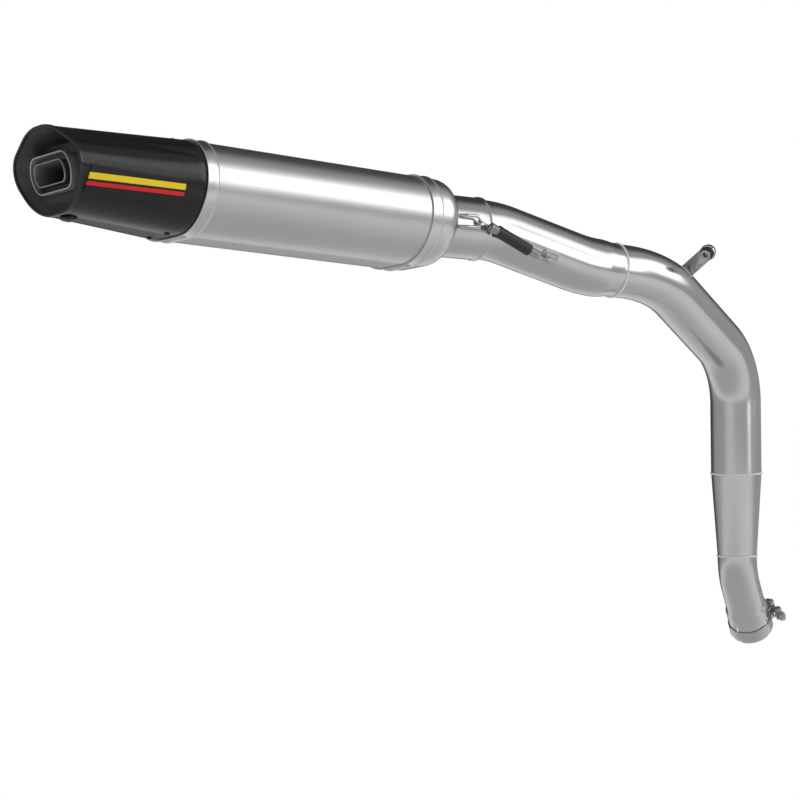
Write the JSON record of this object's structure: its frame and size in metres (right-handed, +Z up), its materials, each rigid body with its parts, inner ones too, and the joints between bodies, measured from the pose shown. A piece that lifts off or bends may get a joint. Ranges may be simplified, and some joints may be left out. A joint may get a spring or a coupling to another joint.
{
  "type": "racing exhaust system",
  "caption": "Racing exhaust with a rounded hexagonal titanium silencer, carbon end cap with removable insert, sprung slip joint, bent link pipe and clamped header socket.",
  "frame": {"origin": "centre of the header socket mouth, where the link pipe slides over the header pipe", "axes": "+X along the silencer from its outlet towards the engine, +Z up, +Y across, away from the side with the hanger"},
  "size_m": [1.0803, 0.1886, 0.4949],
  "materials": {
    "tube_titanium": "satin titanium tube, lightly brushed along its length",
    "sleeve_titanium": "brushed titanium sheet",
    "band_titanium": "satin titanium strip",
    "weld": "heat-tinted weld bead",
    "carbon": "lacquered carbon fibre twill",
    "black_trim": "gloss black",
    "dark_coating": "dark grey heat-proof coating",
    "badge": "blank black plate",
    "rubber": "matt black rubber",
    "spring_steel": "bright spring steel",
    "hardware": "stainless fasteners",
    "black_hardware": "blackened steel",
    "inner_steel": "plain stainless sheet",
    "wool": "glass and basalt wool"
  },
  "bodies": {
    "link_pipe": {"front_bend_tube": "tube_titanium", "main_bend_tube": "tube_titanium", "reducer_cone": "tube_titanium", "header_socket_tube": "tube_titanium", "pipe_weld_beads": "weld", "pipe_spring_hooks": "hardware", "hanger_strap": "tube_titanium", "near_spring": "spring_steel", "far_spring": "spring_steel", "near_spring_sleeve": "rubber", "far_spring_sleeve": "rubber"},
    "hanger_bush": {"hanger_grommet": "rubber", "hanger_sleeve": "hardware"},
    "clamp": {"clamp_band": "hardware", "clamp_trunnions": "hardware"},
    "clamp_bolt": {"clamp_bolt": "hardware"},
    "clamp_nut": {"clamp_nut": "hardware"},
    "silencer": {"outer_sleeve": "sleeve_titanium", "rear_band": "band_titanium", "front_band": "band_titanium", "rear_band_rivets": "hardware", "front_band_rivets": "hardware", "cap_rivets": "black_hardware", "end_cap": "carbon", "end_cap_rim": "black_trim", "badge_plate": "badge", "outlet_funnel": "dark_coating", "outlet_ring": "dark_coating", "insert_screw_boss": "inner_steel", "tail_tube": "inner_steel", "rear_bulkhead": "inner_steel", "front_bulkhead": "inner_steel", "perforated_core": "inner_steel", "packing_wool": "wool", "inlet_cap": "band_titanium", "inlet_stub": "tube_titanium", "inlet_weld": "weld", "stub_spring_eyes": "hardware"},
    "noise_insert": {"noise_insert": "dark_coating"},
    "insert_screw": {"insert_screw": "black_hardware"}
  },
  "joints": [
    {"name": "slip_joint", "type": "slide", "parent": "link_pipe", "child": "silencer", "axis": [-0.9903, 0.1392, 0], "range_m": [0, 0.006], "stiffness_N_per_m": 12000, "springref_m": -0.004, "deforming": ["near_spring", "far_spring"]},
    {"name": "hanger_bush_turn", "type": "hinge", "parent": "link_pipe", "child": "hanger_bush", "pos_m": [-0.23597, -0.15573, 0.42192], "axis": [-0.814, -0.1678, -0.5561], "continuous": true},
    {"name": "clamp_turn", "type": "hinge", "parent": "link_pipe", "child": "clamp", "pos_m": [0, 0, 0], "axis": [0.6262, 0.3275, -0.7075], "continuous": true},
    {"name": "clamp_bolt_turn", "type": "hinge", "parent": "clamp", "child": "clamp_bolt", "pos_m": [0.01968, -0.01982, 0.02379], "axis": [-0.178, -0.8234, -0.5387], "continuous": true},
    {"name": "clamp_nut_turn", "type": "hinge", "parent": "clamp", "child": "clamp_nut", "pos_m": [0.01968, -0.01982, 0.02379], "axis": [-0.178, -0.8234, -0.5387], "continuous": true},
    {"name": "insert_pull", "type": "slide", "parent": "silencer", "child": "noise_insert", "axis": [-1, 0, 0], "range_m": [0, 0.06]},
    {"name": "insert_screw_turn", "type": "hinge", "parent": "silencer", "child": "insert_screw", "pos_m": [-1.0158, -0.0513, 0.4326], "axis": [0, 0, 1], "continuous": true}
  ]
}
